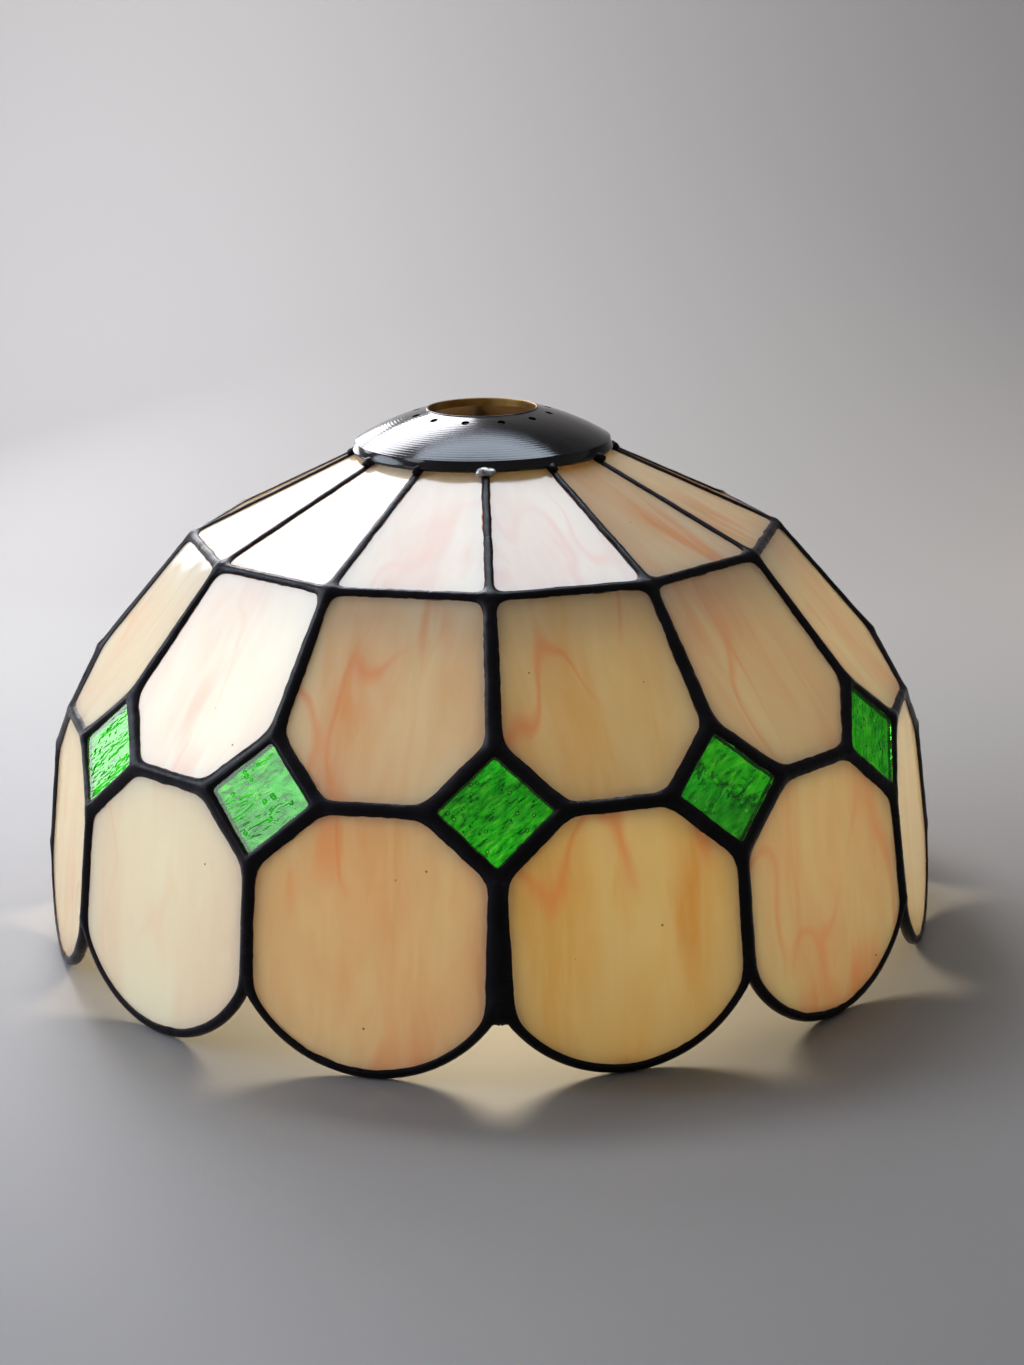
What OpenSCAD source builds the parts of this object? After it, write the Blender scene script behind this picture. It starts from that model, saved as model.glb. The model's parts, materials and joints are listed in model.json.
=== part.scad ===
// Leaded-glass pendant shade: four rows of flat panes, copper-foiled and soldered,
// under a spun vase cap. Z is up, the foot of the scallops is at z = 0, and the
// axis of the shade is the Z axis. Every outline below is the outer face of the glass.

/* [Shade outline] */
// Distance from the axis to the glass at the top edge of the crown, along a seam
throat_r = 41.5; // [41:0.5:43]
// Height of the top edge of the crown
throat_z = 188.6; // [188:0.1:189]
// Distance from the axis to the ring between crown and shoulder, along a seam
ring_r = 112.5; // [110:0.5:115]
// Height of the ring between crown and shoulder
ring_z = 155; // [153:0.5:157]
// Distance from the axis to the middle of a waist link
waist_apothem = 160.2; // [158:0.2:162]
// Height of the waist links
waist_z = 93; // [90:0.5:96]
// Length of the waist link between two diamonds
waist_link = 40; // [36:0.5:44]
// Height of a diamond's upper corner above the waist
diamond_rise = 18.6; // [17:0.2:20]
// Depth of a diamond's lower corner below the waist
diamond_drop = 20.4; // [19:0.2:22]
// How much further out the skirt is at the foot than at the waist
skirt_flare = 11; // [8:0.5:13]
// Radius of the scallop, to the middle of its edge bead
scallop_r = 49.2; // [48:0.1:51]

/* [Glass] */
// Thickness of every pane
glass_t = 3; // [2.5:0.1:3.5]

/* [Foil and solder] */
// Thickness of the copper foil
foil_t = 0.15; // [0.1:0.05:0.2]
// Copper that shows beside a bead
foil_fringe = 0.2; // [0.1:0.1:0.6]
// Solder between two foiled edges, at their closest
joint_gap = 0.3; // [0.2:0.05:0.5]
// Width of the beads between crown panes
crown_bead = 3; // [2.8:0.1:3.6]
// Width of the ring bead between crown and shoulder
ring_bead = 3.4; // [3.2:0.1:4]
// Width of the beads between shoulder panes
shoulder_bead = 4.8; // [4:0.1:5.5]
// Width of the beads round the diamonds
diamond_bead = 4.8; // [4.6:0.1:6]
// Width of the waist link beads
link_bead = 4.4; // [4:0.1:5]
// Width of the beads between skirt panes
skirt_bead = 5.6; // [4.6:0.1:6.5]
// Height of a bead's crest above the glass
crest = 1.1; // [0.9:0.1:1.4]
// Radius of the round edge bead at the rim
rim_tube_r = 2.25; // [2.1:0.05:2.5]
// Solder beyond the foiled edge of the glass at the rim
edge_cover = 0.9; // [0.7:0.1:1.1]

/* [Vase cap] */
// Outer radius of the cap
cap_r = 49.75; // [49:0.25:51]
// Height of the top of the cap
cap_top_z = 202; // [201:0.5:203]
// Radius of the hole for the lampholder ring
cap_bore_r = 20.5; // [20:0.25:21.5]
// Depth of the collar round that hole
collar_depth = 3; // [2.5:0.5:4]
// Thickness of the spun sheet
cap_t = 0.9; // [0.8:0.1:1.2]
// Slope of the cap beside the collar, in degrees
cap_slope = 14; // [12:1:16]
// Radius of the spun dome
cap_dome_r = 98; // [94:1:102]
// Number of vent holes
vents = 12; // [8:1:16]
// Diameter of a vent hole
vent_d = 3; // [2.5:0.5:3.5]
// Distance from the axis to the vent holes
vent_pitch_r = 26; // [25:0.5:28]
// Radius of a solder tack at the cap's edge
tack_r = 3; // [2.5:0.1:3.4]

/* [Hidden] */
// Facets of large arcs and of small round sections
large_fn = 180;
small_fn = 24;
sectors = 12;
half = 180 / sectors;
first_seam = -90;
// A bead's thickness where it ends on the foil, and its crest inside the shade
bead_edge = 0.25;
inner_bulge = 0.4;
// Facets across the crest of a bead
bulge_facets = 6;
// How far a bar runs past a corner before it is mitred, and how far mitred bars overlap
mitre = 4;
lap = 0.02;
// How far a cutting plate reaches past each face of the glass
beyond = 1;
// How far the collar stands above the dome
collar_lip = 0.5;
rows = ["crown_panel", "shoulder_panel", "diamond", "skirt_panel"];
trims = ["crown_foil", "shoulder_foil", "diamond_foil", "skirt_foil", "crown_solder",
         "shoulder_ring_solder", "shoulder_solder", "waist_solder", "skirt_solder",
         "rim_solder", "vase_cap", "cap_solder_tacks"];

cream = "#E3CDA9";
green = "#2E9A1E";
copper = "#B8733F";
patina = "#24222A";
cap_metal = "#3A3230";

// Corners of one sector. The sector is centred on +X, so its seams are at -half and +half.
function numbered(row, i) = str(row, i < 10 ? "_0" : "_", i);
function at_seam(r, z, side) = [r * cos(half), side * r * sin(half), z];
function unit(v) = v / norm(v);
function spin(p, a) = [p.x * cos(a) - p.y * sin(a), p.x * sin(a) + p.y * cos(a), p.z];

shoulder_lean = (waist_apothem - ring_r * cos(half)) / (ring_z - waist_z);
skirt_lean = skirt_flare / waist_z;
diamond_top_r = (waist_apothem - shoulder_lean * diamond_rise) / cos(half);
diamond_bottom_r = (waist_apothem + skirt_lean * diamond_drop) / cos(half);
foot_r = (waist_apothem + skirt_flare) / cos(half);

function throat(side) = at_seam(throat_r, throat_z, side);
function ring(side) = at_seam(ring_r, ring_z, side);
function diamond_top(side) = at_seam(diamond_top_r, waist_z + diamond_rise, side);
function diamond_bottom(side) = at_seam(diamond_bottom_r, waist_z - diamond_drop, side);
function waist(side) = [waist_apothem, side * waist_link / 2, waist_z];
function foot(side) = at_seam(foot_r, 0, side);

// A plane is [a point on it, across, up the slope, outward].
function slope_plane(low, high) =
    let (up = unit(high - low), out = unit(cross([0, 1, 0], up)))
    [low, [0, 1, 0], up, out.x > 0 ? out : -out];
function middle(p) = [p.x, 0, p.z];
crown_plane = slope_plane(middle(ring(1)), middle(throat(1)));
shoulder_plane = slope_plane(middle(waist(1)), middle(ring(1)));
skirt_plane = slope_plane(middle(foot(1)), middle(waist(1)));

// The diamond's plane, in a frame whose +X runs through the seam. The side corners lie
// a little outside the line between the other two, so the plane splits the difference.
diamond_side = spin(waist(-1), half);
diamond_low = [diamond_bottom_r, 0, waist_z - diamond_drop];
diamond_high = [diamond_top_r, 0, waist_z + diamond_rise];
diamond_flat = slope_plane(diamond_low, diamond_high);
diamond_play = (diamond_side - diamond_low) * diamond_flat[3] / 2;
diamond_plane = [diamond_low + diamond_play * diamond_flat[3], diamond_flat[1],
                 diamond_flat[2], diamond_flat[3]];

// Where a point of space lies on a plane, seen from outside.
function on_plane(p, plane) = [(p - plane[0]) * plane[1], (p - plane[0]) * plane[2]];

// An edge of a pane is set back from the outline so that the inner faces of two leaning
// panes leave room for their foil and for the solder between them.
function lean(n1, n2) = acos(min(1, n1 * n2)) / 2;
function set_back(bend) = glass_t * tan(bend) + foil_t + joint_gap / 2;
crown_bend = lean(spin(crown_plane[3], -half), spin(crown_plane[3], half));
ring_bend = lean(crown_plane[3], shoulder_plane[3]);
shoulder_bend = lean(spin(shoulder_plane[3], -half), spin(shoulder_plane[3], half));
upper_diamond_bend = lean(diamond_plane[3], spin(shoulder_plane[3], half));
lower_diamond_bend = lean(diamond_plane[3], spin(skirt_plane[3], half));
link_bend = lean(shoulder_plane[3], skirt_plane[3]);
skirt_bend = lean(spin(skirt_plane[3], -half), spin(skirt_plane[3], half));
throat_set_back = foil_t + joint_gap;
upper_set_back = set_back(upper_diamond_bend) + diamond_play;
lower_set_back = set_back(lower_diamond_bend) + diamond_play;

// A pane is [plane, outline anticlockwise, set-back of each edge, bead width of each edge].
crown_pane = [crown_plane,
    [for (p = [throat(-1), ring(-1), ring(1), throat(1)]) on_plane(p, crown_plane)],
    [set_back(crown_bend), set_back(ring_bend), set_back(crown_bend), throat_set_back],
    [crown_bead, ring_bead, crown_bead, crown_bead]];
shoulder_pane = [shoulder_plane,
    [for (p = [ring(-1), diamond_top(-1), waist(-1), waist(1), diamond_top(1), ring(1)])
        on_plane(p, shoulder_plane)],
    [set_back(shoulder_bend), upper_set_back, set_back(link_bend), upper_set_back,
     set_back(shoulder_bend), set_back(ring_bend)],
    [shoulder_bead, diamond_bead, link_bead, diamond_bead, shoulder_bead, ring_bead]];
diamond_pane = [diamond_plane,
    [for (p = [diamond_high, mirrored(diamond_side), diamond_low, diamond_side])
        on_plane(p, diamond_plane)],
    [upper_set_back, lower_set_back, lower_set_back, upper_set_back],
    [diamond_bead, diamond_bead, diamond_bead, diamond_bead]];
skirt_pane = [skirt_plane,
    [for (p = [waist(-1), diamond_bottom(-1), foot(-1), foot(1), diamond_bottom(1), waist(1)])
        on_plane(p, skirt_plane)],
    [lower_set_back, set_back(skirt_bend), 0, set_back(skirt_bend), lower_set_back,
     set_back(link_bend)],
    [diamond_bead, skirt_bead, 0, skirt_bead, diamond_bead, link_bead]];
function mirrored(p) = [p.x, -p.y, p.z];

// The scallop is a circle in the skirt's plane. Its edge bead just touches z = 0.
rim_low_y = (rim_tube_r + glass_t / 2 * skirt_plane[3].z) / skirt_plane[2].z;
scallop_centre = [0, rim_low_y + scallop_r];
rim_edge_r = scallop_r + rim_tube_r - edge_cover;
rim_reach = sqrt(pow(rim_tube_r, 2) - pow(glass_t / 2 + foil_t, 2));

// Outline arithmetic: each edge of a convex outline moved inward by its own distance.
function inward(p, q) = unit([p.y - q.y, q.x - p.x]);
function meet(p, u, q, v) =
    let (t = ((q.x - p.x) * v.y - (q.y - p.y) * v.x) / (u.x * v.y - u.y * v.x)) p + t * u;
function inset(outline, by) =
    let (n = len(outline))
    [for (i = [0:n - 1])
        let (a = outline[(i + n - 1) % n], b = outline[i], c = outline[(i + 1) % n])
        meet(b + by[(i + n - 1) % n] * inward(a, b), b - a, b + by[i] * inward(b, c), c - b)];
function glass_outline(pane) = inset(pane[1], pane[2]);
function foil_outline(pane) = inset(pane[1], [for (s = pane[2]) s - foil_t]);
function bare_outline(pane) = inset(pane[1], [for (w = pane[3]) w / 2 + foil_fringe]);

// The lower end of a skirt seam, where the outsides of two edge beads meet
rim_outer_r = scallop_r + rim_tube_r;
seam_start = on_plane(diamond_bottom(1), skirt_plane);
seam_run = unit(on_plane(foot(1), skirt_plane) - seam_start);
nearest = (scallop_centre - seam_start) * seam_run;
aside = norm(scallop_centre - seam_start - nearest * seam_run);
seam_length = nearest + sqrt(pow(rim_outer_r, 2) - pow(aside, 2));
notch = diamond_low + seam_length * unit([foot_r, 0, 0] - diamond_low);
notch_half = (seam_start + seam_length * seam_run).x;
// Half of an edge bead's sweep, which keeps its inner side clear of its neighbour's
rim_sweep = asin((notch_half - (glass_t / 2 + rim_tube_r) * tan(skirt_bend) - lap) / rim_outer_r);

// The cap sits on the crests of the crown seams
crown_fall = (throat_z - ring_z) / (ring_r - throat_r);
cap_seat_z = throat_z - crown_fall * (cap_r - throat_r) + crest * sqrt(1 + pow(crown_fall, 2));

// Rigid placements
module on(plane) {
    x = plane[1];
    y = plane[2];
    z = plane[3];
    o = plane[0];
    multmatrix([[x.x, y.x, z.x, o.x], [x.y, y.y, z.y, o.y], [x.z, y.z, z.z, o.z], [0, 0, 0, 1]])
        children();
}
module sector(i) {
    rotate(first_seam + half + 2 * half * (i - 1)) children();
}
module seam(i) {
    rotate(first_seam + 2 * half * (i - 1)) children();
}

// A plate in a pane's plane, from depth below the outer face to rise above it
module plate(plane, depth, rise) {
    on(plane) translate([0, 0, -depth]) linear_extrude(depth + rise) children();
}
module scallop(r) {
    intersection() {
        children();
        translate(scallop_centre) circle(r, $fn = large_fn);
    }
}

// Glass of one pane
module glass(pane, tint) {
    color(tint) plate(pane[0], glass_t, 0) polygon(glass_outline(pane));
}
module skirt_glass() {
    color(cream) plate(skirt_plane, glass_t, 0)
        scallop(rim_edge_r - foil_t) polygon(glass_outline(skirt_pane));
}
// The space that a pane and its foil fill
module foiled(pane) {
    plate(pane[0], glass_t + foil_t, foil_t) polygon(foil_outline(pane));
}
module foiled_skirt() {
    plate(skirt_plane, glass_t + foil_t, foil_t)
        scallop(rim_edge_r) polygon(foil_outline(skirt_pane));
}
// Foil: a channel round the edge, with a leg on each face
module foil(pane) {
    difference() {
        foiled(pane);
        plate(pane[0], glass_t, 0) polygon(glass_outline(pane));
        plate(pane[0], glass_t + beyond, beyond) polygon(bare_outline(pane));
    }
}
module skirt_pane_foil() {
    difference() {
        foiled_skirt();
        plate(skirt_plane, glass_t, 0)
            scallop(rim_edge_r - foil_t) polygon(glass_outline(skirt_pane));
        plate(skirt_plane, glass_t + beyond, beyond)
            scallop(scallop_r - rim_reach - foil_fringe) polygon(bare_outline(skirt_pane));
    }
}

// Cross-section of a bead, crest up: a shallow dome on each face of the glass, which
// falls away at the angle bend on both sides, and the web between the two foiled edges
function bulge(w, edge, rise) =
    [for (s = [-1:2 / bulge_facets:1]) [s * w / 2, edge + rise * (1 - s * s)]];
module bead_section(w, bend) {
    fall = w / 2 * tan(bend);
    outer_edge = foil_t + bead_edge - fall;
    inner_edge = -glass_t / cos(bend) - foil_t - bead_edge - fall;
    polygon(concat(bulge(w, outer_edge, crest - outer_edge),
                   bulge(-w, inner_edge, -inner_bulge)));
}
// A bead along the line from p to q, with its crest towards out
module bead(p, q, out, w, bend, over = 0) {
    along = unit(q - p);
    across = unit(cross(out, along));
    lift = cross(along, across);
    on([p - over * along, across, lift, along])
        linear_extrude(norm(q - p) + 2 * over) bead_section(w, bend);
}
// The part of space that belongs to one sector, and a hair more, so that bars which
// meet in it fuse
module wedge() {
    translate([-lap / sin(half), 0]) linear_extrude(cap_top_z)
        polygon([[0, 0], [2 * foot_r * cos(half), -2 * foot_r * sin(half)],
                 [2 * foot_r * cos(half), 2 * foot_r * sin(half)]]);
}
module both_sides() {
    for (side = [-half, half]) rotate(side) children();
}

// Beads of one sector, centred on +X
module throat_bar() {
    intersection() {
        bead(throat(-1), throat(1), crown_plane[3], crown_bead, 0, mitre);
        wedge();
    }
}
module ring_bar() {
    intersection() {
        bead(ring(-1), ring(1), crown_plane[3] + shoulder_plane[3], ring_bead, ring_bend, mitre);
        wedge();
    }
}
module link_bar() {
    bead(waist(-1), waist(1), shoulder_plane[3] + skirt_plane[3], link_bead, link_bend);
}
// A round bead with a slot for the foiled glass. It stops short of the seams, and the
// skirt beads fill the corner between two of them.
module rim_arc() {
    on(skirt_plane) translate([scallop_centre.x, scallop_centre.y, -glass_t / 2])
        rotate(-90 - rim_sweep) rotate_extrude(angle = 2 * rim_sweep, $fn = large_fn) difference() {
            translate([scallop_r, 0]) circle(rim_tube_r, $fn = small_fn);
            translate([0, -glass_t / 2 - foil_t]) square([rim_edge_r, glass_t + 2 * foil_t]);
        }
}

// Beads of one seam, which runs along +X
function seam_out(plane) = [plane[3].x, 0, plane[3].z];
throat_low = [throat_r, 0, throat_z];
ring_low = [ring_r, 0, ring_z];
below_ring = ring_low + ring_bead / 4 * unit(diamond_high - ring_low);
module crown_bar() {
    bead(throat_low, ring_low, seam_out(crown_plane), crown_bead, crown_bend);
}
module shoulder_bar() {
    bead(below_ring, diamond_high, seam_out(shoulder_plane), shoulder_bead, shoulder_bend);
}
module skirt_bar() {
    bead(diamond_low, notch, seam_out(skirt_plane), skirt_bead, skirt_bend);
}
module diamond_frame() {
    for (side = [1, -1]) {
        corner = side > 0 ? diamond_side : mirrored(diamond_side);
        upper = diamond_plane[3] + spin(shoulder_plane[3], side * half);
        lower = diamond_plane[3] + spin(skirt_plane[3], side * half);
        bead(diamond_high, corner, upper, diamond_bead, upper_diamond_bend);
        bead(corner, diamond_low, lower, diamond_bead, lower_diamond_bend);
    }
}

// Glass
module crown_panel(i) {
    sector(i) glass(crown_pane, cream);
}
module shoulder_panel(i) {
    sector(i) glass(shoulder_pane, cream);
}
module diamond(i) {
    seam(i) glass(diamond_pane, green);
}
module skirt_panel(i) {
    sector(i) skirt_glass();
}

// Foil
module crown_foil() {
    color(copper) for (i = [1:sectors]) sector(i) foil(crown_pane);
}
module shoulder_foil() {
    color(copper) for (i = [1:sectors]) sector(i) foil(shoulder_pane);
}
module diamond_foil() {
    color(copper) for (i = [1:sectors]) seam(i) foil(diamond_pane);
}
module skirt_foil() {
    color(copper) for (i = [1:sectors]) sector(i) skirt_pane_foil();
}

// Solder
module crown_solder() {
    color(patina) for (i = [1:sectors]) {
        seam(i) difference() {
            crown_bar();
            both_sides() {
                foiled(crown_pane);
                ring_bar();
            }
        }
        sector(i) difference() {
            throat_bar();
            foiled(crown_pane);
        }
    }
}
module shoulder_ring_solder() {
    color(patina) for (i = [1:sectors]) sector(i) difference() {
        ring_bar();
        foiled(crown_pane);
        foiled(shoulder_pane);
    }
}
module shoulder_solder() {
    color(patina) for (i = [1:sectors]) seam(i) difference() {
        shoulder_bar();
        diamond_frame();
        both_sides() {
            foiled(shoulder_pane);
            ring_bar();
        }
    }
}
module waist_solder() {
    color(patina) for (i = [1:sectors]) {
        seam(i) difference() {
            diamond_frame();
            foiled(diamond_pane);
            both_sides() {
                foiled(shoulder_pane);
                foiled_skirt();
            }
        }
        sector(i) difference() {
            link_bar();
            foiled(shoulder_pane);
            foiled_skirt();
        }
    }
}
module skirt_solder() {
    color(patina) for (i = [1:sectors]) seam(i) difference() {
        skirt_bar();
        diamond_frame();
        both_sides() {
            foiled_skirt();
            rim_arc();
        }
    }
}
module rim_solder() {
    color(patina) for (i = [1:sectors]) sector(i) rim_arc();
}

// Cap
module cap_outline() {
    dome = [cap_bore_r + cap_t - cap_dome_r * sin(cap_slope),
            cap_top_z - collar_lip - cap_dome_r * cos(cap_slope)];
    corner_z = dome.y + sqrt(pow(cap_dome_r, 2) - pow(cap_r - dome.x, 2));
    intersection() {
        translate(dome) difference() {
            circle(cap_dome_r, $fn = large_fn);
            circle(cap_dome_r - cap_t, $fn = large_fn);
        }
        translate([cap_bore_r, cap_seat_z]) square([cap_r - cap_bore_r, cap_top_z - cap_seat_z]);
    }
    translate([cap_r - cap_t, cap_seat_z]) square([cap_t, corner_z - cap_seat_z]);
    translate([cap_bore_r, cap_top_z - collar_depth]) square([cap_t, collar_depth]);
}
module vase_cap() {
    color(cap_metal) difference() {
        rotate_extrude($fn = large_fn) cap_outline();
        for (k = [0:vents - 1]) rotate(360 / vents * (k + 0.5))
            translate([vent_pitch_r, 0, cap_seat_z])
                cylinder(d = vent_d, h = cap_top_z, $fn = small_fn);
    }
}
module cap_solder_tacks() {
    color(patina) for (i = [1:sectors]) seam(i) difference() {
        translate([cap_r, 0, cap_seat_z]) sphere(tack_r, $fn = small_fn);
        cylinder(r = cap_r, h = 2 * cap_top_z, $fn = large_fn);
        crown_bar();
        both_sides() foiled(crown_pane);
    }
}

for (i = [1:sectors]) {
    crown_panel(i);
    shoulder_panel(i);
    diamond(i);
    skirt_panel(i);
}
crown_foil();
shoulder_foil();
diamond_foil();
skirt_foil();
crown_solder();
shoulder_ring_solder();
shoulder_solder();
waist_solder();
skirt_solder();
rim_solder();
vase_cap();
cap_solder_tacks();
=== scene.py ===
"""Looks of a leaded-glass lampshade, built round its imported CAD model.

Lengths are metres. The planes and outlines of the panes and the size of the cap are
measured on the CAD nodes, and the foil and the solder are laid out from the panes.
"""

import json
from collections import defaultdict
from math import cos, pi, radians, sin, sqrt

import bmesh
import bpy
import numpy as np
from mathutils import Matrix, Vector, geometry, noise

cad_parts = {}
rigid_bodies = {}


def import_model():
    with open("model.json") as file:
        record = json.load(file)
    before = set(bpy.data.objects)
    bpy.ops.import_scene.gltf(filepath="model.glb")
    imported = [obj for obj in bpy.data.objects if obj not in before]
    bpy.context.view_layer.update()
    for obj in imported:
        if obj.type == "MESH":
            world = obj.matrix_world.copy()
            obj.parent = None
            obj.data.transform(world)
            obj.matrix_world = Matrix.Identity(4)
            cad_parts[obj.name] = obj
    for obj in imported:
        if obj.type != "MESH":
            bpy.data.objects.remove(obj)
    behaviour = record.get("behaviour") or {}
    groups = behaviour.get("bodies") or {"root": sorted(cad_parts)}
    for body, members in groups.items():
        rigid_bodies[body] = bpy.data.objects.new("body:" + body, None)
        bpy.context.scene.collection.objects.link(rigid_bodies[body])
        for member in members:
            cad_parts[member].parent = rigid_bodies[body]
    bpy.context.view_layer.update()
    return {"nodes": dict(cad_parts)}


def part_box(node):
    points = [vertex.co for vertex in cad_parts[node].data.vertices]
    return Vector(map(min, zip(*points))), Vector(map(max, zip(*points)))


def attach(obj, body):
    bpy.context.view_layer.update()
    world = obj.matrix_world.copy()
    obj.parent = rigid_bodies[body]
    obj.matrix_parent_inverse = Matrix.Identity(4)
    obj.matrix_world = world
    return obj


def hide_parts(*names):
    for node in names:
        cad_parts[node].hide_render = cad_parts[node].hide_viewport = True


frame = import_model()

MM = 0.001
SECTORS = 12
ROWS = ("crown_panel", "shoulder_panel", "diamond", "skirt_panel")
UP = np.array((0.0, 0.0, 1.0))
RNG = np.random.default_rng(12)
SHARP = radians(40)  # edges that turn by more than this aren't shaded smooth

# Copper foil and solder
FOIL = 0.15 * MM  # thickness of the foil
COLUMN = 1.5 * MM  # spacing of the mesh along a joint
THROAT_GAP = 0.45 * MM  # from the crown's top glass edge to the middle of its bead
RIM_COVER = 1.2 * MM  # from the middle of the rim bead out to the glass edge
THROAT_REACH = 1.0 * MM  # solder beyond the middle of the throat bead
RIM_REACH = 2.25 * MM  # and beyond the middle of the rim bead
NOTCH_FILL = 2.1 * MM  # more solder where two scallops meet
BORDER = 0.16 * MM  # thickness of the solder where it ends on the foil
BITE = 0.02 * MM  # how far solder and foil sink into what they lie on
# Height of the solder over the outer faces of the panes
CREST = {"crown_panel": 0.85 * MM, "shoulder_panel": 1.05 * MM, "diamond": 1.1 * MM,
         "skirt_panel": 1.15 * MM}
RIM_CREST = 0.75 * MM
INNER_CREST = 0.45 * MM  # and over their inner faces
UNEVEN = 0.13  # share by which the height wanders
JUNCTION_CREST = 0.25 * MM  # solder gathers where joints meet
JUNCTION_REACH = 4 * MM  # over this length of each joint
FREE_JUNCTION_REACH = 9 * MM  # and over this length of a free edge
# Millimetres by which the border sways in long and short waves, drips onto the glass, and
# leaves a fringe of foil bare
SWAY, SHORT_SWAY, DRIP, FRINGE, SHORT_FRINGE = 0.36, 0.22, 0.45, 0.45, 0.12
ROUNDING = 9  # how often the corners of the bare glass are smoothed
DIAMOND_ROUNDING = 1
# Rows of the solder's mesh, as shares of the way from its crest to its border
OUTER_SHARES = (0.35, 0.62, 0.82, 0.94, 1.0)
INNER_SHARES = (1.0, 0.8, 0.45)
WRAP_STEPS = 7  # rows round the free side of a bead
# Width of the solder on the first pane's side of a joint with the second, from the
# middle of the joint, at the joint's upper end and at its lower end
REACH = {
    ("crown_panel", "crown_panel"): (1.4, 1.6), ("crown_panel", "shoulder_panel"): (1.6, 1.6),
    ("crown_panel", "nothing"): (1.5, 1.5), ("shoulder_panel", "crown_panel"): (2.0, 2.0),
    ("shoulder_panel", "shoulder_panel"): (2.1, 3.0), ("shoulder_panel", "diamond"): (3.6, 3.6),
    ("shoulder_panel", "skirt_panel"): (2.3, 2.3), ("diamond", "shoulder_panel"): (1.5, 1.5),
    ("diamond", "skirt_panel"): (1.6, 1.6), ("skirt_panel", "shoulder_panel"): (2.5, 2.5),
    ("skirt_panel", "diamond"): (3.6, 3.6), ("skirt_panel", "skirt_panel"): (2.5, 2.7),
    ("skirt_panel", "nothing"): (1.0, 1.0),
}
# The skirt seam in front is wider than the others by these factors, and more solder
# fills its notch
FRONT_SEAM = (1.25, 1.8)
FRONT_FILL = 6.6 * MM
WEB_SPREAD = 1.08  # the solder in a notch hangs a little lower beside its middle


def unit(v):
    return v / np.linalg.norm(v, axis=-1, keepdims=True)


def smooth(t):
    t = np.clip(t, 0, 1)
    return t * t * (3 - 2 * t)


def meet(p, u, q, v):
    """Where the plane line through p along u meets the one through q along v."""
    w = q - p
    return p + u * (w[0] * v[1] - w[1] * v[0]) / (u[0] * v[1] - u[1] * v[0])


def ripple(places, wave, shift=0.0):
    """Smooth noise from -1 to 1 at each place, with features about one wave long."""
    offset = Vector((shift, 2 * shift, -shift))
    return np.array([noise.noise(Vector(p) / wave + offset) for p in places])


# -------------------------------- panes of the CAD model


def corner_keys(row, i):
    """Names of the junctions round a pane, anticlockwise from the outside."""
    following, previous = i % SECTORS + 1, (i - 2) % SECTORS + 1
    if row == "crown_panel":
        return [("throat", i), ("ring", i), ("ring", following), ("throat", following)]
    if row == "shoulder_panel":
        return [("ring", i), ("top", i), ("left", i), ("right", i), ("top", following),
                ("ring", following)]
    if row == "diamond":
        return [("top", i), ("right", previous), ("low", i), ("left", i)]
    return [("left", i), ("low", i), ("notch", i), ("notch", following), ("low", following),
            ("right", i)]


class Pane:
    """A flat pane: the frame of its outer face, and its glass outline in that frame."""

    def __init__(self, row, number):
        self.row, self.number = row, number
        self.name = f"{row}_{number:02d}"
        mesh = frame["nodes"][self.name].data
        co = np.empty(3 * len(mesh.vertices), np.float32)
        mesh.vertices.foreach_get("co", co)
        co = co.reshape(-1, 3).astype(float)
        radial = unit(co.mean(0) * (1, 1, 0))
        normal = np.array(max(mesh.polygons, key=lambda face: face.area).normal)
        self.across = np.cross(UP, radial)
        self.out = unit(normal - (normal @ self.across) * self.across)
        self.out *= np.sign(self.out @ (radial + UP))
        self.up = np.cross(self.out, self.across)
        height = co @ self.out
        self.thickness = height.max() - height.min()
        face = co[height > height.max() - 0.1 * MM]
        flat = np.stack((face @ self.across, face @ self.up), 1)
        centre = (flat.min(0) + flat.max(0)) / 2
        self.origin = (centre[0] * self.across + centre[1] * self.up
                       + height.max() * self.out)
        self.outline = self.ordered(flat - centre)
        self.keys = corner_keys(row, number)
        self.arc = None
        self.corners = self.outline
        if row == "skirt_panel":
            self.corners = np.concatenate((self.outline[:3], self.outline[-3:]))
            self.arc = self.fit_circle(self.outline[2:-2])

    @staticmethod
    def ordered(flat):
        """The distinct points, anticlockwise from just right of straight up."""
        start = 0.1
        angle = (np.arctan2(-flat[:, 0], flat[:, 1]) + start) % (2 * pi)
        flat = flat[np.argsort(angle)]
        step = np.linalg.norm(flat - np.roll(flat, 1, 0), axis=1)
        return flat[step > 0.02 * MM]

    @staticmethod
    def fit_circle(points):
        """Centre and radius of the circle through points that are centred on x = 0."""
        rows = np.stack((2 * points[:, 1], np.ones(len(points))), 1)
        y, rest = np.linalg.lstsq(rows, (points ** 2).sum(1), rcond=None)[0]
        return np.array((0, y)), sqrt(rest + y * y)

    def flat(self, place):
        place = place - self.origin
        return np.stack((place @ self.across, place @ self.up), -1)

    def space(self, flat, height=0.0):
        height = np.broadcast_to(height, flat.shape[:-1])
        return (self.origin + flat[..., :1] * self.across + flat[..., 1:2] * self.up
                + height[..., None] * self.out)

    def edges(self):
        return list(zip(self.keys, self.keys[1:] + self.keys[:1]))


panes = [Pane(row, i) for row in ROWS for i in range(1, SECTORS + 1)]

# -------------------------------- joints and junctions


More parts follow.
